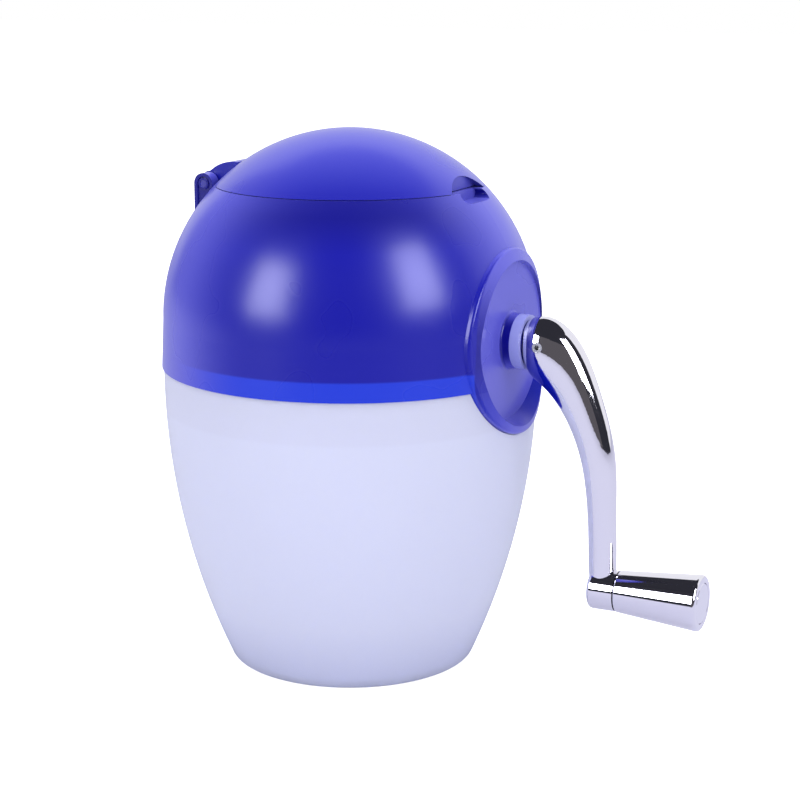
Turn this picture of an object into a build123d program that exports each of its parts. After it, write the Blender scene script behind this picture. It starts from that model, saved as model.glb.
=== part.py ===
from build123d import *
import math
import os

# Hand cranked ice crusher.  Millimetres, +Z up, origin at the centre of the surface it stands on.
# The crank is on the +X side and the lid's hinge on the -X side.

# ---- heights and radii of the body ----
seam_z = 118.3            # where the housing sits on the cup's rim
skirt_h = 18.3            # from the seam up to the dome's centre
dome_r = 73.0             # radius of the dome that the housing and the lid share
skirt_flare = 0.9         # how much wider the housing is at the seam
cup_step = 0.7            # how far the housing stands out over the cup's belly
lid_r = 51.94             # radius of the lid's rim
crank_drop = 4.1          # from the dome's centre down to the crank's axis
dome_z = seam_z + skirt_h
skirt_r = dome_r + skirt_flare
lid_seam_z = dome_z + math.sqrt(dome_r**2 - lid_r**2)
crank_z = dome_z - crank_drop

# ---- cup ----
cup_belly_r = skirt_r - cup_step
cup_belly_drop = 3.0      # from the seam down to the cup's widest place
cup_side_r = 278.8        # radius of the side's curve, seen from the front
cup_wall = 2.4
cup_floor = 2.8
cup_edge_r = 3.0          # rounding of the base edge
foot_ring_w = 3.24        # width of the flat ring that the cup stands on
foot_ring_depth = 1.2
cup_belly_z = seam_z - cup_belly_drop

# ---- housing and lid ----
lid_gap = 0.25            # gap between the mouth and the lid
housing_wall = 2.4
lid_wall = 2.2
mouth_ring_w = 4.54       # from the lid's rim in to the clear mouth
mouth_ring_h = 2.9
mouth_r = lid_r - mouth_ring_w

# ---- crank's pad on the housing ----
pad_r = 35.0
pad_raise = 1.7           # how far the pad stands out of the housing
pad_wall = 2.4
pad_set_back = 5.0        # from the dome's radius in to the flat face that the boss stands on
pad_depth = 6.0           # from that face in to the end of the pad's ring wall
pad_rim_w = 5.3           # from the pad's edge in to the flat face
pad_face_slope = 20.0     # degrees, of the wall between face and rim
pad_edge_r = 1.2
notch_gap = 0.4           # between the pad and the cup's notch
boss_r = 10.6
boss_h = 3.4
boss_foot_r = 1.0
bearing_tube_r = 10.75
bearing_tube_gap = 7.5    # from the crushing chamber's wall to the tube that holds the bush
pad_face_x = dome_r - pad_set_back
pad_back_x = pad_face_x - pad_depth
pad_face_r = pad_r - pad_rim_w
boss_top_x = pad_face_x + boss_h

# ---- crank bush and shaft ----
shaft_r = 5.0
run_gap = 0.05            # radial gap of a turning fit
fit_gap = 0.05            # radial gap of a still fit
end_play = 0.3
bush_wall = 2.5
bush_flange_r = 10.3
bush_flange_h = 3.8
bush_recess_r = 8.3
bush_recess_h = 2.6
shaft_square = 10.0       # across flats, inside the crushing chamber
drive_square = 7.0        # across flats, inside the crank's hub
drive_l = 15.1            # length of that square end
collar_gap = 0.6          # between the ribbed collar and the bush's recess
collar_groove_w = 0.5
collar_groove_depth = 0.9
bush_sleeve_r = shaft_r + bush_wall
bush_end_x = boss_top_x + bush_flange_h
hub_start_x = bush_end_x - bush_recess_h + end_play

# ---- hopper and crushing chamber ----
blade_count = 5
blade_pitch = 13.0
chamber_end = 7.0         # from the last fixed blade out to the chamber's end wall
chamber_half_y = 26.0
chamber_corner_r = 10.0
chamber_head = 25.5       # from the crank's axis up to the chamber's top
bearing_wall = 3.0
chamber_wall = 2.4
shaft_hole_gap = 1.2      # round the shaft in the chamber's near wall
funnel_wall = 2.0
funnel_h = 10.0
funnel_flat = 2.0         # half width of the four short flats of the round mouth
hopper_lip = 3.4          # how far the hopper's rim stands out of its funnel
hopper_rim_h = 1.5
hopper_rim_gap = 0.2
chute_depth = 16.3        # from the seam down to the underside of the chute's floor
chute_floor = 2.5
chute_wall = 2.0
chute_cup_gap = 0.4
chute_rise = 7.2          # how far the chute stands up inside the housing
chute_lip_h = 4.0         # lip round the discharge opening
chute_lip_wall = 1.8
lug_w = 3.6
lug_rise = 1.5            # from the seam up to the lugs
lug_h = 5.3
lug_angles = (92.6, 152.6, 212.6, 272.6)
rib_count = 6             # radial ribs on the chute's floor
rib_start = 30.0          # degrees, of the first rib
rib_in_r = 52.0
rib_t = 1.6
rib_h = 5.0
chamber_half_x = blade_count * blade_pitch / 2 + chamber_end
funnel_r = mouth_r - hopper_lip - funnel_wall
chamber_top_z = crank_z + chamber_head
funnel_top_z = chamber_top_z + funnel_h
hopper_top_z = lid_seam_z - mouth_ring_h - hopper_rim_gap
chute_z = seam_z - chute_depth
chute_top_z = seam_z + chute_rise
lug_z = seam_z + lug_rise
floor_z = chute_z + chute_floor
bearing_tube_x = chamber_half_x + bearing_wall + bearing_tube_gap

# ---- crushing blades ----
blade_t = 2.5
blade_r = 21.5
blade_root_r = 10.6
blade_teeth = 4
tooth_lean = 16.0         # degrees that a tooth's edge leans forwards
tooth_tip = 9.0           # degrees that its tip is wide
tooth_root = 62.0         # degrees that its root is wide
tooth_back_lean = 5.0     # degrees that its hollow back leans at half height
tooth_sink = 1.25         # how far a tooth starts inside the root circle
blade_step = 18.0         # degrees that each blade is turned from the last
spacer_r = 8.8
spacer_end_gap = 0.4
still_t = 2.0             # thickness of the fixed blades
still_reach_gap = 1.4     # between a fixed blade's tip and the spacers
still_half_h = 15.0
still_slot_depth = 1.2
still_slot_gap = 0.1
still_shoulder = 4.0      # from the rods in to the fixed blades' shoulder
still_waist = 8.0         # from the rods in to the middle of their hollow flanks
rod_r = 2.0
rod_inset = 3.5           # from the chamber's side wall in to the rods
rod_dz = 11.0             # distance of the two rods above and below the shaft
rod_end = 4.5             # thread that stands out of the wall
rod_chamfer = 0.5
nut_flats = 7.0
nut_h = 3.0
comb_t = 2.0
comb_reach = 12.0
comb_flange_h = 26.0
comb_shelf = 3.0          # depth of the shelf that carries the comb's teeth
comb_blade_gap = 1.5
screw_r = 1.5
screw_head_r = 3.0
screw_head_h = 2.0
screw_end_gap = 3.0       # empty depth below a screw's end
screw_hole_gap = 0.1      # radial gap round a screw that passes through
comb_screw_inset = 5.4    # from the comb's ends in to its screws
comb_screw_dz = 8.0
rod_y = chamber_half_y - rod_inset
comb_half_x = chamber_half_x - chamber_corner_r - still_slot_gap
comb_screw_x = comb_half_x - comb_screw_inset

# ---- far bearing ----
far_bush_r = 7.0
far_flange_r = 9.0
far_flange_t = 1.5
washer_t = 1.0
washer_r = 8.0
clip_t = 1.0
clip_r = 7.0
clip_mouth = 4.0          # width of the clip's open side
clip_gap = 0.15
clip_groove_r = 4.0
shaft_far_tail = 1.5

# ---- chute screws ----
boss_x = 28.0
boss_y = 34.0
screw_boss_r = 3.8
screw_boss_h = 14.0
chute_screw_l = 10.0

# ---- lid hinge ----
hinge_out = 3.26          # from the lid's rim out to the pin
hinge_drop = 0.7          # from the lid's seam down to the pin
hinge_pin_r = 1.5
hinge_pin_end = 0.6
ear_in = 13.0
ear_out = 18.0
ear_r = 4.1
ear_l = 15.2              # from the pin down to the ears' foot
ear_groove_in = 1.2
ear_groove_depth = 0.9
ear_collar_w = 0.6        # ring left round the pin inside the ear's recess
knuckle_r = 4.5
knuckle_half = 12.5
hinge_relief = 0.5
hinge_block_half = 20.0
hinge_block_h = 9.9
hinge_block_gap = 0.8     # between the block and the hopper's funnel
leaf_reach = 12.2         # from the pin in to where the leaf meets the dome
leaf_bulge = 1.4
hinge_x = -lid_r - hinge_out
hinge_z = lid_seam_z - hinge_drop
leaf_top_x = hinge_x + leaf_reach

# ---- lid ring, scoop and thumb pocket ----
ring_gap = 0.6
ring_wall = 1.8
ring_depth = 2.4
ring_rise = 4.4           # how far the ring reaches up into the lid
ring_break_half = 18.8
scoop_r = 22.5
scoop_top = 5.4           # scoop's top over the lid's seam
scoop_floor = 1.5         # scoop's floor over the lid's seam
scoop_inset = 6.24        # from the lid's rim in to the scoop's back wall
scoop_wall = 1.6
pocket_drop = 3.7         # from the lid's seam down to the pocket's floor
pocket_top_half = 13.4    # half width of the pocket at the rim
pocket_floor_half = 9.4   # half width of its floor
pocket_corner_r = 1.6
pocket_inset = 4.14       # from the lid's rim in to the pocket's back wall
pocket_wall = 2.2
pocket_half = 15.5
scoop_x = lid_r - scoop_inset
scoop_top_z = lid_seam_z + scoop_top
scoop_floor_z = lid_seam_z + scoop_floor
pocket_x = lid_r - pocket_inset
pocket_floor_z = lid_seam_z - pocket_drop

# ---- crank arm and knob ----
crank_throw = 92.6        # from the crank's axis down to the knob's axis
crank_reach = 33.8        # from the hub's end out to the arm's lower end
neck_r = 6.0
elbow_in = 4.1            # from the arm's middle in to the elbow's inner face
elbow_w = 10.5
elbow_r = 7.8
elbow_edge_r = 1.6
# along the arm: share of the reach, share of the throw, direction in degrees,
# half width in the arm's plane, half thickness across it
arm_stations = (
    (0.083, 0.003, 0, 9.0, 7.8),
    (0.346, 0.041, -24, 12.0, 9.2),
    (0.574, 0.137, -44, 9.9, 8.0),
    (0.751, 0.266, -61, 7.9, 6.8),
    (0.902, 0.433, -78, 6.7, 6.1),
    (0.962, 0.599, -87, 5.8, 5.6),
    (0.985, 0.761, -90, 5.4, 5.2),
    (0.997, 0.902, -90, 5.3, 5.2),
    (1.030, 0.988, -90, 5.3, 5.7),
)
grub_reach = 9.1          # from the hub's end out to the grub screw
grub_r = 2.0
grub_inset = 0.3
grub_key = 2.0
knob_gap = 0.3
knob_l = 32.6
knob_r = 7.9
knob_end_r = 10.7
knob_edge_r = 1.2
knob_in_edge_r = 0.6
spindle_r = 3.0
spindle_seat = 9.0        # length of the spindle inside the elbow
spindle_head_r = 4.8
spindle_head_h = 2.4
spindle_cap_gap = 3.2     # between the spindle's head and the end cap
cap_r = 7.7
cap_t = 3.4
cap_edge = 0.34
head_room = 0.5
elbow_z = crank_z - crank_throw
elbow_in_x = hub_start_x + crank_reach - elbow_in
elbow_out_x = elbow_in_x + elbow_w
drive_end_x = hub_start_x + drive_l
grub_x = hub_start_x + grub_reach
knob_start_x = elbow_out_x + knob_gap
knob_end_x = knob_start_x + knob_l
spindle_head_x = knob_end_x - cap_t - spindle_cap_gap - spindle_head_h


def cup_radius(z):
    """Outer radius of the cup at height z."""
    return cup_belly_r - cup_side_r + math.sqrt(cup_side_r**2 - (z - cup_belly_z) ** 2)


def skirt_radius(z):
    """Outer radius of the housing's straight skirt at height z."""
    return skirt_r + (dome_r - skirt_r) * (z - seam_z) / (dome_z - seam_z)


def x_plane(x, z=crank_z, y=0.0):
    """Plane across the crank's axis, looking along +X, with local x along +Y."""
    return Plane(origin=(x, y, z), x_dir=(0, 1, 0), z_dir=(1, 0, 0))


def y_plane(y):
    """Plane across the hinge's axis: local x along +X, local y along +Z, extruding towards -Y."""
    return Plane.XZ.offset(-y)


def cup_solid(inset, bottom_z, top_z):
    """Solid inside the cup's side, moved inwards by inset."""
    middle_z = (bottom_z + top_z) / 2
    with BuildPart() as solid:
        with BuildSketch(Plane.XZ):
            with BuildLine():
                low = Line((0, bottom_z), (cup_radius(bottom_z) - inset, bottom_z))
                side = ThreePointArc(
                    low @ 1, (cup_radius(middle_z) - inset, middle_z), (cup_radius(top_z) - inset, top_z)
                )
                high = Line(side @ 1, (0, top_z))
                Line(high @ 1, low @ 0)
            make_face()
        revolve(axis=Axis.Z)
    return solid.part


def dome_solid(inset):
    """Solid inside the surface that the housing and the lid share, moved inwards by inset."""
    with BuildPart() as solid:
        with BuildSketch(Plane.XZ):
            with BuildLine():
                foot = Line((0, seam_z), (skirt_r - inset, seam_z))
                side = Line(foot @ 1, (dome_r - inset, dome_z))
                arc = CenterArc((0, dome_z), dome_r - inset, 0, 90)
                Line(arc @ 1, foot @ 0)
            make_face()
        revolve(axis=Axis.Z)
    return solid.part


def x_cylinder(radius, x_from, x_to, z=crank_z, y=0.0):
    """Round bar along the crank's direction."""
    with BuildPart() as bar:
        with BuildSketch(x_plane(x_from, z, y)):
            Circle(radius)
        extrude(amount=x_to - x_from)
    return bar.part


def y_cylinder(radius, half):
    """Round bar along the hinge's axis, from -half to half."""
    with BuildPart() as bar:
        with BuildSketch(y_plane(0)):
            with Locations((hinge_x, hinge_z)):
                Circle(radius)
        extrude(amount=half, both=True)
    return bar.part


def block(x_from, x_to, half_y, z_from, z_to):
    """Box that is centred on Y."""
    with BuildPart() as box:
        with BuildSketch(Plane.XY.offset(z_from)):
            with Locations(((x_from + x_to) / 2, 0)):
                Rectangle(x_to - x_from, 2 * half_y)
        extrude(amount=z_to - z_from)
    return box.part


# ================= cup =================
with BuildPart() as cup:
    add(cup_solid(0, 0, seam_z))
    base_edge = cup.edges().filter_by(GeomType.CIRCLE).sort_by(Axis.Z)[0]
    fillet(base_edge, cup_edge_r)
    add(cup_solid(cup_wall, cup_floor, seam_z), mode=Mode.SUBTRACT)
    with BuildSketch(Plane.XY):
        Circle(cup_radius(0) - cup_edge_r - foot_ring_w)
    extrude(amount=foot_ring_depth, mode=Mode.SUBTRACT)
    add(x_cylinder(pad_r + notch_gap, 0, skirt_r + pad_raise), mode=Mode.SUBTRACT)

# ================= housing =================
with BuildPart() as pad_body:
    with BuildSketch(Plane.XZ):
        pad_low_z = crank_z - pad_r - pad_raise
        with BuildLine():
            pad_low = Line((0, pad_low_z), (cup_radius(pad_low_z) + pad_raise, pad_low_z))
            pad_side = Line(pad_low @ 1, (skirt_r + pad_raise, seam_z))
            pad_up = Line(pad_side @ 1, (dome_r + pad_raise, dome_z))
            pad_arc = CenterArc((0, dome_z), dome_r + pad_raise, 0, 90)
            Line(pad_arc @ 1, pad_low @ 0)
        make_face()
    revolve(axis=Axis.Z)

with BuildPart() as pad:
    with BuildSketch(x_plane(pad_back_x)):
        Circle(pad_r)
    extrude(amount=skirt_r + 2 * pad_raise - pad_back_x)
    add(pad_body.part, mode=Mode.INTERSECT)
    crest = pad.edges().filter_by(lambda e: e.center().X > pad_face_x - pad_raise and e.length > pad_r)
    fillet(crest, pad_edge_r)
    with BuildSketch(x_plane(pad_back_x)):
        Circle(pad_r - pad_wall)
    extrude(amount=pad_face_x - pad_wall - pad_back_x, mode=Mode.SUBTRACT)
    with BuildSketch(x_plane(pad_face_x)):
        Circle(pad_face_r)
    extrude(amount=pad_r, taper=-pad_face_slope, mode=Mode.SUBTRACT)

with BuildPart() as thumb_wall:
    add(dome_solid(housing_wall / 2))
    add(block(pocket_x - pocket_wall, skirt_r, pocket_half, pocket_floor_z - pocket_wall, lid_seam_z),
        mode=Mode.INTERSECT)

with BuildPart() as hinge_block:
    add(dome_solid(housing_wall / 2))
    add(block(-skirt_r, -funnel_r - funnel_wall - hinge_block_gap, hinge_block_half,
              lid_seam_z - hinge_block_h, lid_seam_z), mode=Mode.INTERSECT)

with BuildPart() as housing:
    add(dome_solid(0))
    with BuildSketch(Plane.XY.offset(lid_seam_z)):
        Circle(dome_r)
    extrude(amount=dome_r, mode=Mode.SUBTRACT)
    # ears of the lid's hinge
    for ear_face in (-ear_in, ear_out):
        with BuildSketch(y_plane(ear_face)):
            with Locations((hinge_x, hinge_z)):
                Circle(ear_r)
            with Locations((hinge_x, hinge_z - ear_l / 2)):
                Rectangle(2 * ear_r, ear_l)
        extrude(amount=ear_out - ear_in)
    add(dome_solid(housing_wall), mode=Mode.SUBTRACT)
    add(x_cylinder(pad_r - pad_wall / 2, pad_back_x, skirt_r + pad_raise), mode=Mode.SUBTRACT)
    with BuildSketch(Plane.XY.offset(lid_seam_z - mouth_ring_h)):
        Circle(lid_r - housing_wall / 2)
        Circle(mouth_r, mode=Mode.SUBTRACT)
    extrude(amount=mouth_ring_h)
    add(thumb_wall.part)
    add(hinge_block.part)
    add(pad.part)
    # boss on the pad's face and the tube behind it
    add(x_cylinder(boss_r, pad_face_x - pad_wall / 2, boss_top_x))
    boss_foot = housing.edges().filter_by(GeomType.CIRCLE).filter_by(
        lambda e: abs(e.center().X - pad_face_x) < fit_gap and abs(e.radius - boss_r) < fit_gap
    )
    fillet(boss_foot, boss_foot_r)
    add(x_cylinder(bearing_tube_r, bearing_tube_x, pad_face_x - pad_wall / 2))
    add(x_cylinder(bush_sleeve_r + fit_gap, 0, skirt_r), mode=Mode.SUBTRACT)
    # room for the lid's knuckle, the pin's bore and the arched recesses in the ears' sides
    add(y_cylinder(knuckle_r + hinge_relief, ear_in), mode=Mode.SUBTRACT)
    add(y_cylinder(hinge_pin_r, ear_out), mode=Mode.SUBTRACT)
    for groove_face in (-ear_out + ear_groove_depth, ear_out):
        with BuildSketch(y_plane(groove_face)):
            with Locations((hinge_x, hinge_z)):
                Circle(ear_r - ear_groove_in)
            with Locations((hinge_x, hinge_z - ear_r)):
                Rectangle(2 * (ear_r - ear_groove_in), 2 * ear_r)
            with Locations((hinge_x, hinge_z)):
                Circle(hinge_pin_r + ear_collar_w, mode=Mode.SUBTRACT)
        extrude(amount=ear_groove_depth, mode=Mode.SUBTRACT)
    # thumb pocket in the rim, under the lid's scoop
    with BuildSketch(x_plane(pocket_x, lid_seam_z)):
        with BuildLine():
            Polyline(
                (-pocket_top_half, 0),
                (-pocket_floor_half, -pocket_drop),
                (pocket_floor_half, -pocket_drop),
                (pocket_top_half, 0),
                close=True,
            )
        pocket = make_face()
        fillet(pocket.vertices().group_by(Axis.Z)[0], pocket_corner_r)
    extrude(amount=skirt_r - pocket_x, mode=Mode.SUBTRACT)

# ================= lid and its hinge pin =================
lid_low_z = lid_seam_z + lid_gap
with BuildPart() as scoop_block:
    add(dome_solid(lid_wall / 2))
    add(block(scoop_x - scoop_wall, dome_r, scoop_r, lid_low_z, scoop_top_z + scoop_wall), mode=Mode.INTERSECT)
    add(x_cylinder(scoop_r + scoop_wall, 0, dome_r, scoop_top_z - scoop_r), mode=Mode.INTERSECT)

with BuildPart() as lid:
    add(dome_solid(0))
    # leaf that joins the dome to the knuckle
    with BuildSketch(y_plane(knuckle_half)):
        leaf_top_z = dome_z + math.sqrt(dome_r**2 - leaf_top_x**2)
        leaf_low = (hinge_x, lid_low_z)
        leaf_high = (hinge_x, hinge_z + knuckle_r)
        leaf_crest = ((hinge_x + leaf_top_x) / 2, (leaf_high[1] + leaf_top_z) / 2 + leaf_bulge)
        with BuildLine():
            leaf_arc = ThreePointArc(leaf_high, leaf_crest, (leaf_top_x, leaf_top_z))
            leaf_drop = Line(leaf_arc @ 1, (leaf_top_x, lid_low_z))
            leaf_under = Line(leaf_drop @ 1, leaf_low)
            Line(leaf_under @ 1, leaf_high)
        make_face()
    extrude(amount=2 * knuckle_half)
    with BuildSketch(Plane.XY):
        Circle(2 * dome_r)
    extrude(amount=lid_low_z, mode=Mode.SUBTRACT)
    add(dome_solid(lid_wall), mode=Mode.SUBTRACT)
    add(y_cylinder(knuckle_r, knuckle_half))
    # locating ring, broken at the hinge and at the thumb scoop
    with BuildSketch(Plane.XY.offset(lid_seam_z - ring_depth)):
        Circle(mouth_r - ring_gap)
        Circle(mouth_r - ring_gap - ring_wall, mode=Mode.SUBTRACT)
        Rectangle(2 * mouth_r, 2 * ring_break_half, mode=Mode.SUBTRACT)
    extrude(amount=ring_depth + ring_rise)
    add(scoop_block.part)
    with BuildSketch(x_plane(scoop_x, scoop_top_z - scoop_r)):
        Circle(scoop_r)
        with Locations((0, scoop_floor_z - scoop_top_z)):
            Rectangle(2 * scoop_r, 2 * scoop_r, align=(Align.CENTER, Align.MAX), mode=Mode.SUBTRACT)
    extrude(amount=scoop_r, mode=Mode.SUBTRACT)
    add(y_cylinder(hinge_pin_r + run_gap, knuckle_half), mode=Mode.SUBTRACT)

with BuildPart() as lid_hinge_pin:
    add(y_cylinder(hinge_pin_r, ear_out - ear_groove_depth + hinge_pin_end))

# ================= hopper =================
corner_bosses = [(sx * boss_x, sy * boss_y) for sx in (-1, 1) for sy in (-1, 1)]
rod_heights = (crank_z - rod_dz, crank_z + rod_dz)
still_x = [(i - blade_count / 2) * blade_pitch for i in range(blade_count + 1)]
turning_x = [(i - (blade_count - 1) / 2) * blade_pitch for i in range(blade_count)]
still_root_y = chamber_half_y + still_slot_depth - still_slot_gap


def chamber_section(grow_x, grow_y):
    """Rounded outline of the crushing chamber, made larger by a wall."""
    RectangleRounded(
        2 * (chamber_half_x + grow_x), 2 * (chamber_half_y + grow_y), chamber_corner_r + min(grow_x, grow_y)
    )


def mouth_section(grow):
    """Nearly round outline of the hopper's mouth, made larger by a wall."""
    RectangleRounded(2 * (funnel_r + grow), 2 * (funnel_r + grow), funnel_r + grow - funnel_flat)


with BuildPart() as hopper:
    with BuildSketch(Plane.XY.offset(chamber_top_z)):
        chamber_section(bearing_wall, chamber_wall)
    with BuildSketch(Plane.XY.offset(funnel_top_z)):
        mouth_section(funnel_wall)
    loft()
    with BuildSketch(Plane.XY.offset(funnel_top_z)):
        mouth_section(funnel_wall)
    extrude(amount=hopper_top_z - funnel_top_z)
    with BuildSketch(Plane.XY.offset(hopper_top_z - hopper_rim_h)):
        Circle(mouth_r)
    extrude(amount=hopper_rim_h)
    with BuildSketch(Plane.XY.offset(floor_z)):
        chamber_section(bearing_wall, chamber_wall)
    extrude(amount=chamber_top_z - floor_z)
    # screw bosses at the chamber's corners, tied to its wall by webs
    with BuildSketch(Plane.XY.offset(floor_z)):
        with Locations(*corner_bosses):
            Circle(screw_boss_r)
        with Locations(*[(x, y * (boss_y + chamber_half_y) / (2 * boss_y)) for x, y in corner_bosses]):
            Rectangle(chamber_wall, boss_y - chamber_half_y)
    extrude(amount=screw_boss_h)
    # inside: chamber, funnel and mouth
    with BuildSketch(Plane.XY.offset(floor_z)):
        chamber_section(0, 0)
    extrude(amount=chamber_top_z - floor_z, mode=Mode.SUBTRACT)
    with BuildSketch(Plane.XY.offset(chamber_top_z)):
        chamber_section(0, 0)
    with BuildSketch(Plane.XY.offset(funnel_top_z)):
        mouth_section(0)
    loft(mode=Mode.SUBTRACT)
    with BuildSketch(Plane.XY.offset(funnel_top_z)):
        mouth_section(0)
    extrude(amount=hopper_top_z - funnel_top_z, mode=Mode.SUBTRACT)
    # the rim leaves room for the thumb pocket's wall and for the hinge block
    add(block(funnel_r, mouth_r + housing_wall, pocket_half + notch_gap,
              pocket_floor_z - pocket_wall - notch_gap, lid_seam_z), mode=Mode.SUBTRACT)
    add(block(-mouth_r - housing_wall, -funnel_r - funnel_wall, hinge_block_half + notch_gap,
              lid_seam_z - hinge_block_h - notch_gap, lid_seam_z), mode=Mode.SUBTRACT)
    # shaft holes in the bearing walls
    add(x_cylinder(shaft_r + shaft_hole_gap, chamber_half_x - bearing_wall, chamber_half_x + 2 * bearing_wall),
        mode=Mode.SUBTRACT)
    add(x_cylinder(far_bush_r + fit_gap, -chamber_half_x - 2 * bearing_wall, -chamber_half_x + bearing_wall),
        mode=Mode.SUBTRACT)
    # slots for the fixed blades and holes for their two rods
    with BuildSketch(Plane.XY.offset(crank_z - still_half_h)):
        with Locations(*[(x, chamber_half_y) for x in still_x]):
            Rectangle(still_t + 2 * still_slot_gap, 2 * still_slot_depth)
    extrude(amount=2 * still_half_h, mode=Mode.SUBTRACT)
    for rod_z in rod_heights:
        add(x_cylinder(rod_r + fit_gap, -chamber_half_x - 2 * bearing_wall, chamber_half_x + 2 * bearing_wall,
                       rod_z, rod_y), mode=Mode.SUBTRACT)
    # screw holes of the bosses and of the coarse comb
    with BuildSketch(Plane.XY.offset(floor_z)):
        with Locations(*corner_bosses):
            Circle(screw_r)
    extrude(amount=chute_screw_l, mode=Mode.SUBTRACT)
    with BuildSketch(y_plane(-chamber_half_y + chamber_wall)):
        with Locations((-comb_screw_x, crank_z + comb_screw_dz), (comb_screw_x, crank_z + comb_screw_dz)):
            Circle(screw_r + fit_gap)
    extrude(amount=3 * chamber_wall, mode=Mode.SUBTRACT)

# ================= ice chute =================
chute_r = cup_radius(chute_z) - cup_wall - chute_cup_gap
chute_high_r = skirt_radius(chute_top_z) - housing_wall - chute_cup_gap
with BuildPart() as ice_chute:
    with BuildSketch(Plane.XY.offset(chute_z)):
        Circle(chute_r)
    extrude(amount=seam_z - chute_z)
    with BuildSketch(Plane.XY.offset(seam_z)):
        Circle(chute_high_r)
    extrude(amount=chute_top_z - seam_z)
    with BuildSketch(Plane.XY.offset(lug_z)):
        for angle in lug_angles:
            with PolarLocations(chute_high_r - lug_w / 2 + chute_cup_gap / 2, 1, start_angle=angle):
                Rectangle(lug_w, lug_w)
    extrude(amount=lug_h)
    with BuildSketch(Plane.XY.offset(floor_z)):
        Circle(chute_r - chute_wall)
    extrude(amount=chute_top_z - chute_z, mode=Mode.SUBTRACT)
    with BuildSketch(Plane.XY.offset(chute_z - chute_lip_h)):
        chamber_section(chute_lip_wall, chute_lip_wall)
    extrude(amount=chute_lip_h)
    with BuildSketch(Plane.XY.offset(chute_z - chute_lip_h)):
        chamber_section(0, 0)
    extrude(amount=chute_top_z - chute_z, mode=Mode.SUBTRACT)
    with BuildSketch(Plane.XY.offset(chute_z)):
        with Locations(*corner_bosses):
            Circle(screw_r + screw_hole_gap)
    extrude(amount=chute_floor, mode=Mode.SUBTRACT)
    # radial ribs from the hopper's foot to the collar
    with BuildSketch(Plane.XY.offset(floor_z)):
        with PolarLocations((rib_in_r + chute_r - chute_wall / 2) / 2, rib_count, start_angle=rib_start):
            Rectangle(chute_r - chute_wall / 2 - rib_in_r, rib_t)
    extrude(amount=rib_h)
    add(x_cylinder(pad_r + chute_cup_gap + notch_gap, pad_back_x - notch_gap, skirt_r), mode=Mode.SUBTRACT)

with BuildPart() as chute_screws:
    with BuildSketch(Plane.XY.offset(chute_z - screw_head_h)):
        with Locations(*corner_bosses):
            Circle(screw_head_r)
    extrude(amount=screw_head_h)
    with BuildSketch(Plane.XY.offset(chute_z)):
        with Locations(*corner_bosses):
            Circle(screw_r)
    extrude(amount=chute_floor + chute_screw_l - screw_end_gap)

# ================= bushes =================
with BuildPart() as crank_bush:
    add(x_cylinder(bush_sleeve_r, bearing_tube_x, boss_top_x))
    add(x_cylinder(bush_flange_r, boss_top_x, bush_end_x))
    add(x_cylinder(bush_recess_r, bush_end_x - bush_recess_h, bush_end_x), mode=Mode.SUBTRACT)
    add(x_cylinder(shaft_r + run_gap, bearing_tube_x, bush_end_x), mode=Mode.SUBTRACT)

far_wall_x = -chamber_half_x - bearing_wall
with BuildPart() as far_bush:
    add(x_cylinder(far_bush_r, far_wall_x, -chamber_half_x))
    add(x_cylinder(far_flange_r, far_wall_x - far_flange_t, far_wall_x))
    add(x_cylinder(shaft_r + run_gap, far_wall_x - far_flange_t, -chamber_half_x), mode=Mode.SUBTRACT)

# ================= drive shaft =================
washer_x = far_wall_x - far_flange_t - end_play
clip_x = washer_x - washer_t - clip_gap
shaft_far_x = clip_x - clip_t - shaft_far_tail
square_half_x = chamber_half_x - spacer_end_gap
with BuildPart() as drive_shaft:
    add(x_cylinder(shaft_r, shaft_far_x, hub_start_x))
    with BuildSketch(x_plane(-square_half_x)):
        Rectangle(shaft_square, shaft_square)
    extrude(amount=2 * square_half_x)
    with BuildSketch(x_plane(hub_start_x)):
        Rectangle(drive_square, drive_square)
    extrude(amount=drive_l)
    with BuildSketch(x_plane(clip_x - clip_t)):
        Circle(shaft_r)
        Circle(clip_groove_r, mode=Mode.SUBTRACT)
    extrude(amount=clip_t, mode=Mode.SUBTRACT)

with BuildPart() as shaft_end_washer:
    with BuildSketch(x_plane(washer_x - washer_t)):
        Circle(washer_r)
        Circle(shaft_r + fit_gap, mode=Mode.SUBTRACT)
    extrude(amount=washer_t)

with BuildPart() as shaft_end_clip:
    with BuildSketch(x_plane(clip_x - clip_t)):
        Circle(clip_r)
        Circle(clip_groove_r, mode=Mode.SUBTRACT)
        with Locations((0, -clip_r / 2)):
            Rectangle(clip_mouth, clip_r, mode=Mode.SUBTRACT)
    extrude(amount=clip_t)

# ribbed ring round the crank's neck, inside the bush's recess
collar_r = bush_recess_r - collar_gap
collar_middle_r = (collar_r + neck_r) / 2
with BuildPart() as shaft_collar:
    with BuildSketch(x_plane(hub_start_x)):
        Circle(collar_r)
        Circle(neck_r + fit_gap, mode=Mode.SUBTRACT)
    extrude(amount=bush_end_x - hub_start_x)
    with BuildSketch(x_plane(bush_end_x - collar_groove_depth)):
        Circle(collar_middle_r + collar_groove_w / 2)
        Circle(collar_middle_r - collar_groove_w / 2, mode=Mode.SUBTRACT)
    extrude(amount=collar_groove_depth, mode=Mode.SUBTRACT)

# ================= turning blades =================
square_fit = shaft_square + 2 * fit_gap
tooth_span = 360 / blade_teeth


def polar(radius, degrees):
    """Point at a radius and an angle."""
    return (radius * math.cos(math.radians(degrees)), radius * math.sin(math.radians(degrees)))


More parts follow.
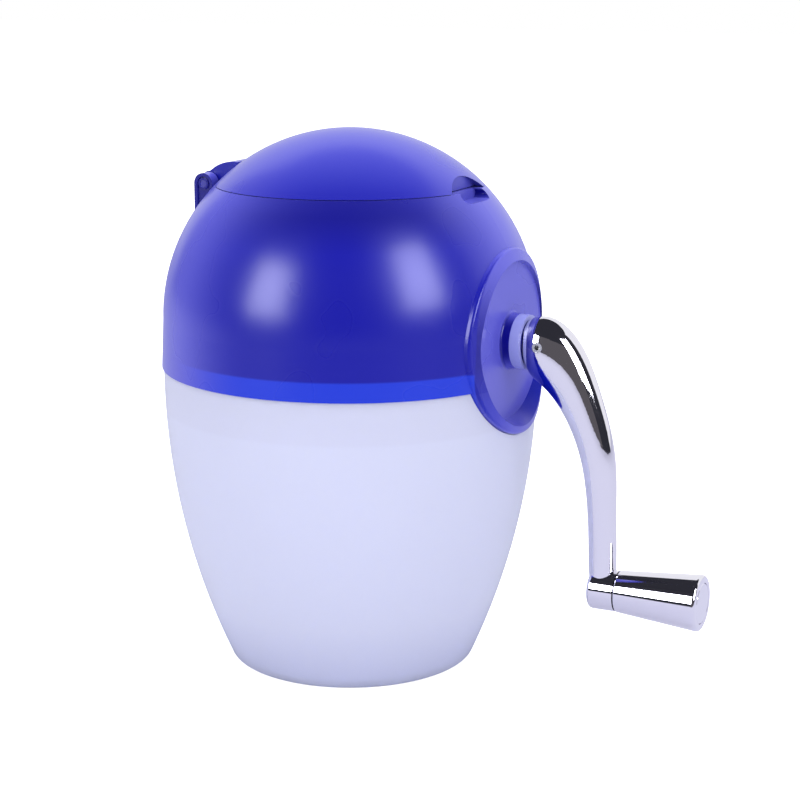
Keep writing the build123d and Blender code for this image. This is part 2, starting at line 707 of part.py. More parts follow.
def rotor_blade(index):
    """Plate with hooked teeth on the shaft's square, each one turned a step from the last."""
    inner_r = blade_root_r - tooth_sink
    with BuildPart() as blade:
        with BuildSketch(x_plane(turning_x[index] - blade_t / 2)):
            Circle(blade_root_r)
            for tooth in range(blade_teeth):
                start = tooth * tooth_span + index * blade_step
                with BuildLine():
                    edge = Line(polar(inner_r, start), polar(blade_r, start + tooth_lean))
                    tip = ThreePointArc(
                        edge @ 1,
                        polar(blade_r, start + tooth_lean + tooth_tip / 2),
                        polar(blade_r, start + tooth_lean + tooth_tip),
                    )
                    back = ThreePointArc(
                        tip @ 1,
                        polar((blade_r + inner_r) / 2, start + tooth_lean + tooth_tip + tooth_back_lean),
                        polar(inner_r, start + tooth_root),
                    )
                    Line(back @ 1, edge @ 0)
                make_face()
            Rectangle(square_fit, square_fit, mode=Mode.SUBTRACT)
        extrude(amount=blade_t)
    return blade.part


def rotor_spacer(index):
    """Distance ring between two turning blades, or between the last one and the bearing wall."""
    start = turning_x[index - 1] + blade_t / 2 if index > 0 else -square_half_x
    end = turning_x[index] - blade_t / 2 if index < blade_count else square_half_x
    with BuildPart() as spacer:
        with BuildSketch(x_plane(start)):
            Circle(spacer_r)
            Circle(shaft_square / math.sqrt(2) + fit_gap, mode=Mode.SUBTRACT)
        extrude(amount=end - start)
    return spacer.part


# ================= fixed blades and coarse comb =================
still_tip_y = spacer_r + still_reach_gap


def fixed_blade(index):
    """Still plate with a tapered, hollow-ground point, carried by two rods."""
    shoulder_y = rod_y - still_shoulder
    waist_y = rod_y - still_waist
    with BuildPart() as blade:
        with BuildSketch(x_plane(still_x[index] - still_t / 2)):
            with BuildLine():
                root = Line((still_root_y, -still_half_h), (still_root_y, still_half_h))
                top = Line(root @ 1, (shoulder_y, still_half_h))
                upper = ThreePointArc(
                    top @ 1, (waist_y, still_half_h / 2), (still_tip_y, still_half_h / 4)
                )
                nose = ThreePointArc(
                    upper @ 1, (still_tip_y + still_reach_gap / 2, 0), (still_tip_y, -still_half_h / 4)
                )
                lower = ThreePointArc(
                    nose @ 1, (waist_y, -still_half_h / 2), (shoulder_y, -still_half_h)
                )
                Line(lower @ 1, root @ 0)
            make_face()
            with Locations((rod_y, -rod_dz), (rod_y, rod_dz)):
                Circle(rod_r + fit_gap, mode=Mode.SUBTRACT)
        extrude(amount=still_t)
    return blade.part


rod_half_x = chamber_half_x + bearing_wall + rod_end


def blade_rod(rod_z):
    """Rod that carries the fixed blades between the bearing walls."""
    with BuildPart() as rod:
        add(x_cylinder(rod_r, -rod_half_x, rod_half_x, rod_z, rod_y))
        chamfer(rod.edges().filter_by(GeomType.CIRCLE), rod_chamfer)
    return rod.part


with BuildPart() as blade_rod_nuts:
    for nut_x in (-chamber_half_x - bearing_wall - nut_h, chamber_half_x + bearing_wall):
        with BuildSketch(x_plane(nut_x)):
            with Locations((rod_y, -rod_dz), (rod_y, rod_dz)):
                RegularPolygon(nut_flats / 2, 6, major_radius=False)
                Circle(rod_r + fit_gap, mode=Mode.SUBTRACT)
        extrude(amount=nut_h)

comb_tooth_w = blade_pitch - blade_t - 2 * comb_blade_gap
comb_holes = ((-comb_screw_x, crank_z + comb_screw_dz), (comb_screw_x, crank_z + comb_screw_dz))
with BuildPart() as coarse_comb:
    with BuildSketch(y_plane(-chamber_half_y + comb_t)):
        with Locations((0, crank_z)):
            Rectangle(2 * comb_half_x, comb_flange_h)
        with Locations(*comb_holes):
            Circle(screw_r, mode=Mode.SUBTRACT)
    extrude(amount=comb_t)
    with BuildSketch(Plane.XY.offset(crank_z - comb_t / 2)):
        with Locations((0, -chamber_half_y + comb_shelf / 2)):
            Rectangle(2 * comb_half_x, comb_shelf)
        for tooth_x in still_x[1:-1]:
            with BuildLine():
                Polyline(
                    (tooth_x - comb_tooth_w / 2, -chamber_half_y + comb_t),
                    (tooth_x - comb_tooth_w / 2, -chamber_half_y + comb_reach - comb_tooth_w / 2),
                    (tooth_x, -chamber_half_y + comb_reach),
                    (tooth_x + comb_tooth_w / 2, -chamber_half_y + comb_reach - comb_tooth_w / 2),
                    (tooth_x + comb_tooth_w / 2, -chamber_half_y + comb_t),
                    close=True,
                )
            make_face()
    extrude(amount=comb_t)

comb_wall_y = -chamber_half_y - chamber_wall
with BuildPart() as comb_screws:
    with BuildSketch(y_plane(comb_wall_y)):
        with Locations(*comb_holes):
            Circle(screw_head_r)
    extrude(amount=screw_head_h)
    with BuildSketch(y_plane(-chamber_half_y + comb_t)):
        with Locations(*comb_holes):
            Circle(screw_r)
    extrude(amount=comb_t + chamber_wall)

# ================= crank arm =================
with BuildPart() as elbow:
    add(x_cylinder(elbow_r, elbow_in_x, elbow_out_x, elbow_z))
    fillet(elbow.edges().filter_by(GeomType.CIRCLE).sort_by(Axis.X)[0], elbow_edge_r)

with BuildPart() as crank_arm:
    for reach, drop, degrees, half_width, half_thickness in arm_stations:
        place = (hub_start_x + reach * crank_reach, 0, crank_z - drop * crank_throw)
        along = Vector(math.cos(math.radians(degrees)), 0, math.sin(math.radians(degrees)))
        with BuildSketch(Plane(origin=place, x_dir=(0, 1, 0), z_dir=along)):
            with BuildLine():
                for quarter in (0, 90, 180, 270):
                    EllipticalCenterArc((0, 0), half_thickness, half_width, quarter, arc_size=90)
            make_face()
    loft()
    add(x_cylinder(neck_r, hub_start_x, hub_start_x + arm_stations[0][0] * crank_reach))
    add(elbow.part)
    with BuildSketch(x_plane(hub_start_x)):
        Rectangle(drive_square + 2 * fit_gap, drive_square + 2 * fit_gap)
    extrude(amount=drive_end_x + end_play - hub_start_x, mode=Mode.SUBTRACT)
    add(x_cylinder(spindle_r + fit_gap, elbow_out_x - spindle_seat, elbow_out_x, elbow_z), mode=Mode.SUBTRACT)
    with BuildSketch(y_plane(0)):
        with Locations((grub_x, crank_z)):
            Circle(grub_r)
    extrude(amount=2 * neck_r, mode=Mode.SUBTRACT)

grub_out_y = -(arm_stations[1][4] - grub_inset)
with BuildPart() as crank_grub_screw:
    with BuildSketch(y_plane(-drive_square / 2)):
        with Locations((grub_x, crank_z)):
            Circle(grub_r - fit_gap)
    extrude(amount=-grub_out_y - drive_square / 2)
    with BuildSketch(y_plane(grub_out_y + grub_key)):
        with Locations((grub_x, crank_z)):
            RegularPolygon(grub_key / 2, 6, major_radius=False)
    extrude(amount=grub_key, mode=Mode.SUBTRACT)

# ================= knob =================
with BuildPart() as knob:
    with BuildSketch(Plane.XZ):
        with BuildLine():
            Polyline(
                (knob_start_x, elbow_z),
                (knob_start_x, elbow_z + knob_r),
                (knob_end_x, elbow_z + knob_end_r),
                (knob_end_x, elbow_z),
                close=True,
            )
        make_face()
    revolve(axis=Axis((0, 0, elbow_z), (1, 0, 0)))
    fillet(knob.edges().filter_by(GeomType.CIRCLE).sort_by(Axis.X)[-1], knob_edge_r)
    fillet(knob.edges().filter_by(GeomType.CIRCLE).sort_by(Axis.X)[0], knob_in_edge_r)
    add(x_cylinder(spindle_r + run_gap, knob_start_x, knob_end_x, elbow_z), mode=Mode.SUBTRACT)
    add(x_cylinder(spindle_head_r + head_room, spindle_head_x - knob_gap, knob_end_x, elbow_z),
        mode=Mode.SUBTRACT)
    add(x_cylinder(cap_r + fit_gap, knob_end_x - cap_t, knob_end_x, elbow_z), mode=Mode.SUBTRACT)

with BuildPart() as knob_end_cap:
    add(x_cylinder(cap_r, knob_end_x - cap_t, knob_end_x, elbow_z))
    chamfer(knob_end_cap.edges().filter_by(GeomType.CIRCLE).sort_by(Axis.X)[-1], cap_edge)

with BuildPart() as knob_spindle:
    add(x_cylinder(spindle_r, elbow_out_x - spindle_seat, spindle_head_x, elbow_z))
    add(x_cylinder(spindle_head_r, spindle_head_x, spindle_head_x + spindle_head_h, elbow_z))

# ================= write the pieces =================
pieces = {
    "cup": cup.part,
    "housing": housing.part,
    "lid": lid.part,
    "lid_hinge_pin": lid_hinge_pin.part,
    "hopper": hopper.part,
    "ice_chute": ice_chute.part,
    "chute_screws": chute_screws.part,
    "crank_bush": crank_bush.part,
    "far_bush": far_bush.part,
    "drive_shaft": drive_shaft.part,
    "shaft_end_washer": shaft_end_washer.part,
    "shaft_end_clip": shaft_end_clip.part,
    "shaft_collar": shaft_collar.part,
    "lower_blade_rod": blade_rod(crank_z - rod_dz),
    "upper_blade_rod": blade_rod(crank_z + rod_dz),
    "blade_rod_nuts": blade_rod_nuts.part,
    "coarse_comb": coarse_comb.part,
    "comb_screws": comb_screws.part,
    "crank_arm": crank_arm.part,
    "crank_grub_screw": crank_grub_screw.part,
    "knob": knob.part,
    "knob_end_cap": knob_end_cap.part,
    "knob_spindle": knob_spindle.part,
}
for number in range(blade_count):
    pieces[f"rotor_blade_{number + 1}"] = rotor_blade(number)
for number in range(blade_count + 1):
    pieces[f"rotor_spacer_{number + 1}"] = rotor_spacer(number)
    pieces[f"fixed_blade_{number + 1}"] = fixed_blade(number)

os.makedirs("parts", exist_ok=True)
for name, piece in pieces.items():
    piece.label = name
    export_step(piece, f"parts/{name}.step")
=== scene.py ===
import math

import bpy
from bpy.props import FloatProperty, FloatVectorProperty, PointerProperty
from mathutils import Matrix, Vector


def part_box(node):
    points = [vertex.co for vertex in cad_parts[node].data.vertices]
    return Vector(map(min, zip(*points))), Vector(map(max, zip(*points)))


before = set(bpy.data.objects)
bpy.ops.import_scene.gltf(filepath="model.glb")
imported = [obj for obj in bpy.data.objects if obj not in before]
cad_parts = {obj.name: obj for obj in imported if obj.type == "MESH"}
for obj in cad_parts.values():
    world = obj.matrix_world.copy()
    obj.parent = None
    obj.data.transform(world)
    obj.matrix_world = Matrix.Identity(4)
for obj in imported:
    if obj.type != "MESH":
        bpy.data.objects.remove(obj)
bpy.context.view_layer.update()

bl_info = {
    "name": "Hand cranked ice crusher",
    "version": (1, 0, 0),
    "blender": (4, 5, 0),
    "location": "3D View > Sidebar > Ice Crusher",
    "description": "Finishes, studio and camera for a hand cranked ice crusher",
    "category": "Object",
}

MM = 0.001

# Depth of the boss and of the bush's flange, from the pad's flat face out.
BUSH_STANDS_OFF = 7.2 * MM

# Places in the crusher's own frame, in metres, from the pieces of the model.
MOUTH_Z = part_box("lid")[0].z + 2.4 * MM
CRANK_Z = (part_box("crank_bush")[0].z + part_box("crank_bush")[1].z) / 2
PAD_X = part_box("crank_bush")[1].x - BUSH_STANDS_OFF
COLLAR_LOW_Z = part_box("ice_chute")[0].z + 4 * MM
COLLAR_TOP_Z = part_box("ice_chute")[1].z


# ---------------------------------------------------------------- properties

def colour_property(name, description, default):
    """A colour that a user may change."""
    return FloatVectorProperty(
        name=name, description=description, subtype="COLOR", size=3, min=0, max=1, default=default
    )


class CrusherFinish(bpy.types.PropertyGroup):
    """Colours and roughness of the crusher's materials."""

    blue_deep: colour_property(
        "Deep blue", "Blue of the head where it is two walls thick", (0.001, 0.002, 0.325)
    )
    blue_rim: colour_property(
        "Rim blue", "Blue of the head above the hopper's rim", (0.0005, 0.0005, 0.225)
    )
    blue_band: colour_property(
        "Bright blue", "Blue of the skirt where pale plastic lies behind it", (0.005, 0.032, 0.60)
    )
    blue_lid: colour_property(
        "Lid blue", "Blue of the lid's middle, where light comes through", (0.001, 0.008, 0.39)
    )
    # Painted sheen: a paler blue where the surface turns away from the view, also used on the crank pad's top.
    blue_edge_sheen: colour_property(
        "Edge blue", "Blue painted as sheen where the surface turns away", (0.10, 0.10, 0.58)
    )
    frost: colour_property("Frosted cup", "Colour of the frosted cup", (0.80, 0.825, 1.0))
    # Painted shade: the cup darkens towards the table, where the floor shows through the frosted wall.
    frost_foot_shade: colour_property("Cup's foot", "Colour of the cup near the table", (0.70, 0.73, 0.96))
    frost_collar: colour_property(
        "Cup over collar", "Colour of the cup in front of the collar", (0.78, 0.80, 0.97)
    )
    collar: colour_property("Collar", "Colour of the natural plastic collar", (0.70, 0.72, 0.90))
    nylon: colour_property("Bush", "Colour of the milky bush", (0.32, 0.34, 0.78))
    chrome: colour_property("Chrome", "Colour of the plated pieces", (0.80, 0.79, 0.88))
    steel: colour_property("Steel", "Colour of the blades and screws", (0.50, 0.51, 0.54))
    blue_roughness: FloatProperty(
        name="Blue roughness", description="Roughness of the satin blue plastic", default=0.28, min=0, max=1
    )
    chrome_roughness: FloatProperty(
        name="Chrome roughness", description="Roughness of the plated pieces", default=0.05, min=0, max=1
    )


class CrusherStudio(bpy.types.PropertyGroup):
    """Camera and lamps."""

    lens: FloatProperty(
        name="Focal length", description="Camera's focal length", default=86.44, min=20, max=200, unit="CAMERA"
    )
    camera_place: FloatVectorProperty(
        name="Camera", description="Place of the camera", subtype="TRANSLATION", unit="LENGTH",
        default=(0.3417, -0.6567, 0.27457),
    )
    camera_forward: FloatVectorProperty(
        name="Forward", description="Level direction in which the camera looks", subtype="DIRECTION",
        default=(-0.4384, 0.8988, 0.0),
    )
    camera_pitch: FloatProperty(
        name="Pitch", description="How far the camera looks down", subtype="ANGLE",
        default=math.radians(13.09),
    )
    key_power: FloatProperty(
        name="Key lamp", description="Power of the two soft boxes", default=2.7, min=0, unit="POWER"
    )
    fill_power: FloatProperty(
        name="Fill lamp", description="Power of the overhead fill", default=4.8, min=0, unit="POWER"
    )
    box_glow: FloatProperty(
        name="Box glow", description="Brightness of the soft boxes in reflections", default=15.0, min=0
    )
    world_level: FloatProperty(
        name="World", description="Level of the light from all round", default=1.0, min=0, max=2
    )


# ---------------------------------------------------------------- shader groups

def opaque(colour):
    """The colour with full alpha, as a shader's socket takes it."""
    return (*colour[:3], 1.0)


class Nodes:
    """Short ways to add nodes to a tree and join them."""

    def __init__(self, tree):
        self.tree = tree

    def new(self, kind, **settings):
        node = self.tree.nodes.new(kind)
        for key, value in settings.items():
            setattr(node, key, value)
        return node

    def join(self, out_socket, in_socket):
        self.tree.links.new(out_socket, in_socket)

    def math(self, operation, first, second=0.0, clamp=False):
        node = self.new("ShaderNodeMath", operation=operation, use_clamp=clamp)
        for socket, value in zip(node.inputs, (first, second)):
            if isinstance(value, (int, float)):
                socket.default_value = value
            else:
                self.join(value, socket)
        return node.outputs[0]

    def mix(self, factor, first, second, blend="MIX"):
        node = self.new("ShaderNodeMix", data_type="RGBA", blend_type=blend)
        for key, value in (("Factor", factor), ("A", first), ("B", second)):
            socket = node.inputs[key]
            if isinstance(value, bpy.types.NodeSocket):
                self.join(value, socket)
            elif isinstance(value, (int, float)):
                socket.default_value = value
            else:
                socket.default_value = opaque(value)
        return node.outputs["Result"]

    def ramp(self, value, low, high):
        """0 below low, 1 above high, smooth between."""
        node = self.new("ShaderNodeMapRange", interpolation_type="SMOOTHSTEP")
        self.join(value, node.inputs["Value"])
        node.inputs["From Min"].default_value = low
        node.inputs["From Max"].default_value = high
        return node.outputs["Result"]


def new_group(name, inputs, outputs):
    """A shader node group with named sockets, and helpers to fill it."""
    tree = bpy.data.node_groups.new(name, "ShaderNodeTree")
    for socket_name, kind, default in inputs:
        socket = tree.interface.new_socket(name=socket_name, in_out="INPUT", socket_type=kind)
        socket.default_value = default
    for socket_name, kind in outputs:
        tree.interface.new_socket(name=socket_name, in_out="OUTPUT", socket_type=kind)
    build = Nodes(tree)
    return tree, build, build.new("NodeGroupInput"), build.new("NodeGroupOutput")


def moulded_surface_group():
    """Fine unevenness of moulded plastic: a height for bump and a slight change of roughness."""
    tree, build, given, out = new_group(
        "moulded_surface",
        [
            ("Scale", "NodeSocketFloat", 220.0),
            ("Roughness", "NodeSocketFloat", 0.3),
            ("Spread", "NodeSocketFloat", 0.06),
        ],
        [("Height", "NodeSocketFloat"), ("Roughness", "NodeSocketFloat")],
    )
    place = build.new("ShaderNodeTexCoord")
    grain = build.new("ShaderNodeTexNoise")
    grain.inputs["Detail"].default_value = 3.0
    build.join(place.outputs["Object"], grain.inputs["Vector"])
    build.join(given.outputs["Scale"], grain.inputs["Scale"])
    cloud = build.new("ShaderNodeTexNoise")
    cloud.inputs["Scale"].default_value = 24.0
    cloud.inputs["Detail"].default_value = 2.0
    build.join(place.outputs["Object"], cloud.inputs["Vector"])
    swing = build.math("MULTIPLY", build.math("SUBTRACT", cloud.outputs["Fac"], 0.5), given.outputs["Spread"])
    build.join(grain.outputs["Fac"], out.inputs["Height"])
    build.join(build.math("ADD", given.outputs["Roughness"], swing), out.inputs["Roughness"])
    return tree


def height_blend_group():
    """Mixes three colours by height: one below a low level, one above a high level."""
    tree, build, given, out = new_group(
        "height_blend",
        [
            ("Low colour", "NodeSocketColor", (0, 0, 1, 1)),
            ("Middle colour", "NodeSocketColor", (0, 0, 1, 1)),
            ("High colour", "NodeSocketColor", (0, 0, 1, 1)),
            ("Low level", "NodeSocketFloat", 0.12),
            ("Low softness", "NodeSocketFloat", 0.001),
            ("High level", "NodeSocketFloat", 0.19),
            ("High softness", "NodeSocketFloat", 0.02),
        ],
        [("Color", "NodeSocketColor")],
    )
    place = build.new("ShaderNodeTexCoord")
    split = build.new("ShaderNodeSeparateXYZ")
    build.join(place.outputs["Object"], split.inputs[0])
    height = split.outputs["Z"]

    def step(level, softness):
        rise = build.math("SUBTRACT", height, level)
        return build.math("ADD", build.math("DIVIDE", rise, softness), 0.5, clamp=True)

    low = step(given.outputs["Low level"], given.outputs["Low softness"])
    high = step(given.outputs["High level"], given.outputs["High softness"])
    lower = build.mix(low, given.outputs["Low colour"], given.outputs["Middle colour"])
    build.join(build.mix(high, lower, given.outputs["High colour"]), out.inputs["Color"])
    return tree


def fine_scratches_group():
    """Faint scratches along one direction, for plated and ground steel."""
    tree, build, given, out = new_group(
        "fine_scratches",
        [("Scale", "NodeSocketFloat", 600.0), ("Stretch", "NodeSocketVector", (1.0, 1.0, 12.0)),
         ("Roughness", "NodeSocketFloat", 0.1), ("Spread", "NodeSocketFloat", 0.1)],
        [("Height", "NodeSocketFloat"), ("Roughness", "NodeSocketFloat")],
    )
    place = build.new("ShaderNodeTexCoord")
    stretch = build.new("ShaderNodeVectorMath", operation="MULTIPLY")
    build.join(place.outputs["Object"], stretch.inputs[0])
    build.join(given.outputs["Stretch"], stretch.inputs[1])
    grain = build.new("ShaderNodeTexNoise")
    grain.inputs["Detail"].default_value = 4.0
    build.join(stretch.outputs[0], grain.inputs["Vector"])
    build.join(given.outputs["Scale"], grain.inputs["Scale"])
    swing = build.math("MULTIPLY", build.math("SUBTRACT", grain.outputs["Fac"], 0.5), given.outputs["Spread"])
    build.join(grain.outputs["Fac"], out.inputs["Height"])
    build.join(build.math("ADD", given.outputs["Roughness"], swing), out.inputs["Roughness"])
    return tree


GROUPS = {}


def group(name):
    """The shader group of this name, built when it is first asked for."""
    makers = {
        "moulded_surface": moulded_surface_group,
        "height_blend": height_blend_group,
        "fine_scratches": fine_scratches_group,
    }
    if name not in GROUPS:
        GROUPS[name] = makers[name]()
    return GROUPS[name]


# ---------------------------------------------------------------- materials

def start_material(name):
    """A new material with its Principled shader."""
    material = bpy.data.materials.new(name)
    material.use_nodes = True
    build = Nodes(material.node_tree)
    return material, build, material.node_tree.nodes["Principled BSDF"]


def place_group(build, name, **values):
    """An instance of a shader group with its own values."""
    node = build.new("ShaderNodeGroup", node_tree=group(name))
    for key, value in values.items():
        node.inputs[key.replace("_", " ")].default_value = value
    return node


def add_bump(build, shader, height, strength, distance):
    """Bump from a height, joined to the shader's normal."""
    bump = build.new("ShaderNodeBump")
    bump.inputs["Strength"].default_value = strength
    bump.inputs["Distance"].default_value = distance
    build.join(height, bump.inputs["Height"])
    build.join(bump.outputs["Normal"], shader.inputs["Normal"])


def pad_tint_and_painted_light(build, finish):
    """Colours of the crank pad by height, with painted light, and 1 where the pad stands off the shell."""
    tint = place_group(build, "height_blend")
    # Painted reflection: the lighter low part stands in for the table reflected from below. Painted sheen: the
    # lighter top. The darker middle is where the bearing tube lies behind the wall.
    tint.inputs["Low colour"].default_value = opaque(finish.blue_lid)
    tint.inputs["Middle colour"].default_value = opaque(finish.blue_rim)
    tint.inputs["High colour"].default_value = opaque(finish.blue_edge_sheen)
    tint.inputs["Low level"].default_value = CRANK_Z - 12 * MM
    tint.inputs["Low softness"].default_value = 16 * MM
    tint.inputs["High level"].default_value = CRANK_Z + 20 * MM
    tint.inputs["High softness"].default_value = 26 * MM
    place = build.new("ShaderNodeTexCoord")
    split = build.new("ShaderNodeSeparateXYZ")
    build.join(place.outputs["Object"], split.inputs[0])
    return build.ramp(split.outputs["X"], PAD_X - 0.6 * MM, PAD_X - 0.1 * MM), tint.outputs["Color"]


def satin_blue(name, low_level, high_level, high_softness, finish, high_colour, sheen_share=1.0, pad=False):
    """Translucent blue plastic, painted by how much lies behind the wall, with a painted sheen where the surface
    turns away from the view.
    """
    material, build, shader = start_material(name)
    tint = place_group(build, "height_blend")
    tint.inputs["Low colour"].default_value = opaque(finish.blue_band)
    tint.inputs["Middle colour"].default_value = opaque(finish.blue_deep)
    tint.inputs["High colour"].default_value = opaque(high_colour)
    tint.inputs["Low level"].default_value = low_level
    tint.inputs["Low softness"].default_value = 0.8 * MM
    tint.inputs["High level"].default_value = high_level
    tint.inputs["High softness"].default_value = high_softness
    surface = place_group(build, "moulded_surface")
    surface.inputs["Roughness"].default_value = finish.blue_roughness
    edge = build.new("ShaderNodeLayerWeight")
    edge.inputs["Blend"].default_value = 0.5
    base = tint.outputs["Color"]
    if pad:
        on_pad, pad_colour_and_painted_light = pad_tint_and_painted_light(build, finish)
        base = build.mix(on_pad, base, pad_colour_and_painted_light)
    # Painted sheen: the blue is mixed towards the edge sheen colour as the surface turns away from the view.
    turned = build.math("MULTIPLY", build.ramp(edge.outputs["Facing"], 0.14, 0.66), sheen_share)
    sheen_colour = build.mix(turned, base, finish.blue_edge_sheen)
    build.join(sheen_colour, shader.inputs["Base Color"])
    build.join(surface.outputs["Roughness"], shader.inputs["Roughness"])
    shader.inputs["Specular IOR Level"].default_value = 0.34
    add_bump(build, shader, surface.outputs["Height"], 0.08, 0.2 * MM)
    return material


def frosted_clear(finish):
    """Frosted cup: soft, pale and a little see-through, with painted shade towards the foot."""
    material, build, shader = start_material("frosted_clear")
    tint = place_group(build, "height_blend")
    # Painted shade: darker towards the table, where the floor shows through the frosted wall.
    tint.inputs["Low colour"].default_value = opaque(finish.frost_foot_shade)
    tint.inputs["Middle colour"].default_value = opaque(finish.frost)
    tint.inputs["High colour"].default_value = opaque(finish.frost_collar)
    tint.inputs["Low level"].default_value = 12 * MM
    tint.inputs["Low softness"].default_value = 30 * MM
    tint.inputs["High level"].default_value = COLLAR_LOW_Z
    tint.inputs["High softness"].default_value = 1.5 * MM
    surface = place_group(build, "moulded_surface", Scale=900.0, Roughness=0.45)
    build.join(tint.outputs["Color"], shader.inputs["Base Color"])
    build.join(surface.outputs["Roughness"], shader.inputs["Roughness"])
    shader.inputs["Transmission Weight"].default_value = 0.4
    shader.inputs["IOR"].default_value = 1.3
    add_bump(build, shader, surface.outputs["Height"], 0.1, 0.1 * MM)
    return material


def plain_plastic(name, colour, roughness, scale=300.0):
    """Moulded plastic of one colour, with its slight grain."""
    material, build, shader = start_material(name)
    surface = place_group(build, "moulded_surface", Scale=scale, Roughness=roughness)
    shade = build.mix(surface.outputs["Height"], [c * 0.94 for c in colour], [min(1, c * 1.06) for c in colour])
    build.join(shade, shader.inputs["Base Color"])
    build.join(surface.outputs["Roughness"], shader.inputs["Roughness"])
    add_bump(build, shader, surface.outputs["Height"], 0.08, 0.1 * MM)
    return material


def metal(name, colour, roughness, spread, stretch, bump):
    """Plated or ground metal with faint scratches."""
    material, build, shader = start_material(name)
    surface = place_group(build, "fine_scratches", Roughness=roughness, Spread=spread, Stretch=stretch)
    shader.inputs["Metallic"].default_value = 1.0
    shade = build.mix(surface.outputs["Height"], [c * 0.97 for c in colour], list(colour))
    build.join(shade, shader.inputs["Base Color"])
    build.join(surface.outputs["Roughness"], shader.inputs["Roughness"])
    if bump:
        add_bump(build, shader, surface.outputs["Height"], bump, 0.05 * MM)
    return material


def dress(names, material):
    """Gives CAD nodes their finished material."""
    for name in names:
        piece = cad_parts[name]
        piece.data.materials.clear()
        piece.data.materials.append(material)


# ---------------------------------------------------------------- operators

PLASTIC_OR_CHROME = (
    "housing", "lid", "lid_hinge_pin", "cup", "ice_chute", "hopper", "shaft_collar", "crank_bush", "far_bush",
    "crank_arm", "knob", "knob_end_cap",
)


class CRUSHER_OT_housing(bpy.types.Operator):
    """Finish the blue housing, with its bright skirt, its crank pad and the darker band under the lid"""

    bl_idname = "crusher.housing"
    bl_label = "Housing"

    def execute(self, context):
        finish = context.scene.crusher_finish
        rim_z = MOUTH_Z - 9 * MM
        shell = satin_blue("housing_blue", COLLAR_TOP_Z, rim_z, 12 * MM, finish, finish.blue_rim, pad=True)
        dress(["housing"], shell)
        return {"FINISHED"}


class CRUSHER_OT_lid(bpy.types.Operator):
    """Finish the blue lid, brighter in its middle"""

    bl_idname = "crusher.lid"
    bl_label = "Lid"

    def execute(self, context):
        finish = context.scene.crusher_finish
        shell = satin_blue("lid_blue", 0.0, MOUTH_Z + 10 * MM, 20 * MM, finish, finish.blue_lid, sheen_share=0.72)
        dress(["lid"], shell)
        return {"FINISHED"}


class CRUSHER_OT_cup(bpy.types.Operator):
    """Finish the frosted cup and the natural collar inside it"""

    bl_idname = "crusher.cup"
    bl_label = "Cup and collar"

    def execute(self, context):
        finish = context.scene.crusher_finish
        dress(["cup"], frosted_clear(finish))
        dress(["ice_chute"], plain_plastic("natural_plastic", finish.collar, 0.5))
        return {"FINISHED"}


class CRUSHER_OT_plastics(bpy.types.Operator):
    """Finish the hopper, the bushes and the ribbed collar"""

    bl_idname = "crusher.plastics"
    bl_label = "Hopper and bushes"

    def execute(self, context):
        finish = context.scene.crusher_finish
        dress(["hopper", "shaft_collar", "lid_hinge_pin"], plain_plastic("inner_blue", finish.blue_deep, 0.4))
        dress(["crank_bush", "far_bush"], plain_plastic("milky_nylon", finish.nylon, 0.35))
        return {"FINISHED"}


class CRUSHER_OT_crank(bpy.types.Operator):
    """Finish the chromed crank arm and knob"""

    bl_idname = "crusher.crank"
    bl_label = "Crank and knob"

    def execute(self, context):
        finish = context.scene.crusher_finish
        plated = metal("chrome_plate", finish.chrome, finish.chrome_roughness, 0.02, (1, 1, 6), 0.0)
        dress(["crank_arm", "knob", "knob_end_cap"], plated)
        return {"FINISHED"}


class CRUSHER_OT_steel(bpy.types.Operator):
    """Finish the shaft, the blades, the rods and the screws"""

    bl_idname = "crusher.steel"
    bl_label = "Blades and shaft"

    def execute(self, context):
        finish = context.scene.crusher_finish
        ground = metal("ground_steel", finish.steel, 0.28, 0.2, (1, 14, 1), 0.15)
        dress([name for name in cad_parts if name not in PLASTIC_OR_CHROME], ground)
        return {"FINISHED"}


# ---------------------------------------------------------------- stage

def soft_box(name, place, target, width, height, power):
    """A rectangular area lamp that faces a target."""
    lamp = bpy.data.lights.new(name, "AREA")
    lamp.shape = "RECTANGLE"
    lamp.size = width
    lamp.size_y = height
    lamp.energy = power
    holder = bpy.data.objects.new(name, lamp)
    holder.location = place
    holder.rotation_mode = "QUATERNION"
    holder.rotation_quaternion = (Vector(target) - Vector(place)).to_track_quat("-Z", "Y")
    bpy.context.scene.collection.objects.link(holder)
    return holder


def glow(name, colour, strength):
    """A plain glowing material, for cards that only reflections see."""
    material = bpy.data.materials.new(name)
    material.use_nodes = True
    build = Nodes(material.node_tree)
    shine = build.new("ShaderNodeEmission")
    shine.inputs["Color"].default_value = opaque(colour)
    shine.inputs["Strength"].default_value = strength
    build.join(shine.outputs[0], material.node_tree.nodes["Material Output"].inputs["Surface"])
    return material


def seen_in_reflections(card):
    """A card that gloss reflects, and that casts no shade and no light."""
    card.visible_camera = False
    card.visible_diffuse = False
    card.visible_shadow = False
    card.visible_transmission = False


def room_card(name, first, last, low, high, radius, material, steps=24):
    """A curved card: part of a sphere round the object, from one bearing and height to another."""
    across = [first + (last - first) * i / steps for i in range(steps + 1)]
    up = [low + (high - low) * i / steps for i in range(steps + 1)]
    points = [
        (radius * math.cos(e) * math.cos(a), radius * math.cos(e) * math.sin(a), radius * math.sin(e))
        for e in up for a in across
    ]
    row = steps + 1
    faces = [
        (j * row + i, j * row + i + 1, (j + 1) * row + i + 1, (j + 1) * row + i)
        for j in range(steps) for i in range(steps)
    ]
    mesh = bpy.data.meshes.new(name)
    mesh.from_pydata(points, [], faces)
    mesh.materials.append(material)
    card = bpy.data.objects.new(name, mesh)
    bpy.context.scene.collection.objects.link(card)
    seen_in_reflections(card)
    return card


